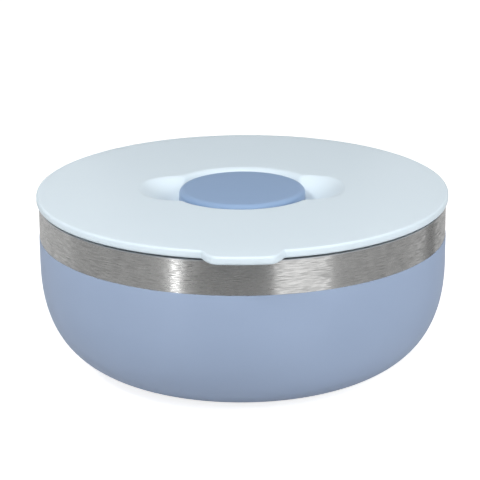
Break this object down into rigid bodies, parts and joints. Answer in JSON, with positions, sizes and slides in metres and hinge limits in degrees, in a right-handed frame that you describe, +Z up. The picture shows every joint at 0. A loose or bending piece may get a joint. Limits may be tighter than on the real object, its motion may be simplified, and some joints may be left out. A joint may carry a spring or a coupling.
{
  "type": "double-walled salad bowl",
  "caption": "Round double-walled steel salad bowl with a bare rim band, a plug-in lid with a lift tab, and a screw-capped dressing pot that drops into the lid.",
  "frame": {"origin": "middle of the base, on the table that the bowl stands on", "axes": "+Z up along the bowl's axis, the lid's lift tab towards -Y, the finger scoops towards +X and -X"},
  "size_m": [0.2022, 0.2102, 0.0865],
  "materials": {
    "inner_steel": "spun satin stainless steel",
    "outer_steel": "stainless steel brushed around the wall",
    "powder_coat": "satin blue-grey powder coat",
    "base_steel": "brushed stainless steel",
    "sealing_glass": "fused sealing glass",
    "getter_steel": "plain pressed steel",
    "lid_plastic": "pale blue moulded plastic, fine satin texture",
    "silicone": "matt translucent silicone",
    "pot_plastic": "natural moulded plastic",
    "cap_plastic": "blue-grey moulded plastic, satin"
  },
  "bodies": {
    "bowl": {"inner_bowl": "inner_steel", "outer_shell": "outer_steel", "powder_coat": "powder_coat", "base_disc": "base_steel", "vacuum_plug": "sealing_glass", "getter": "getter_steel"},
    "lid": {"lid": "lid_plastic", "lid_seal": "silicone"},
    "pot": {"dressing_pot": "pot_plastic"},
    "gasket": {"pot_gasket": "silicone"},
    "cap": {"pot_cap": "cap_plastic"}
  },
  "joints": [
    {"name": "lid_lift", "type": "slide", "parent": "bowl", "child": "lid", "axis": [0, 0, 1], "range_m": [0, 0.06]},
    {"name": "pot_lift", "type": "slide", "parent": "lid", "child": "pot", "axis": [0, 0, 1], "range_m": [0, 0.055]},
    {"name": "cap_rise", "type": "slide", "parent": "pot", "child": "gasket", "axis": [0, 0, 1], "range_m": [0, 0.0041]},
    {"name": "cap_turn", "type": "hinge", "parent": "gasket", "child": "cap", "pos_m": [0, 0, 0.08], "axis": [0, 0, 1], "range_deg": [0, 360]}
  ],
  "couplings": [
    {"joint": "cap_rise", "follows": "cap_turn", "m_per_rad": 0.00063662}
  ]
}
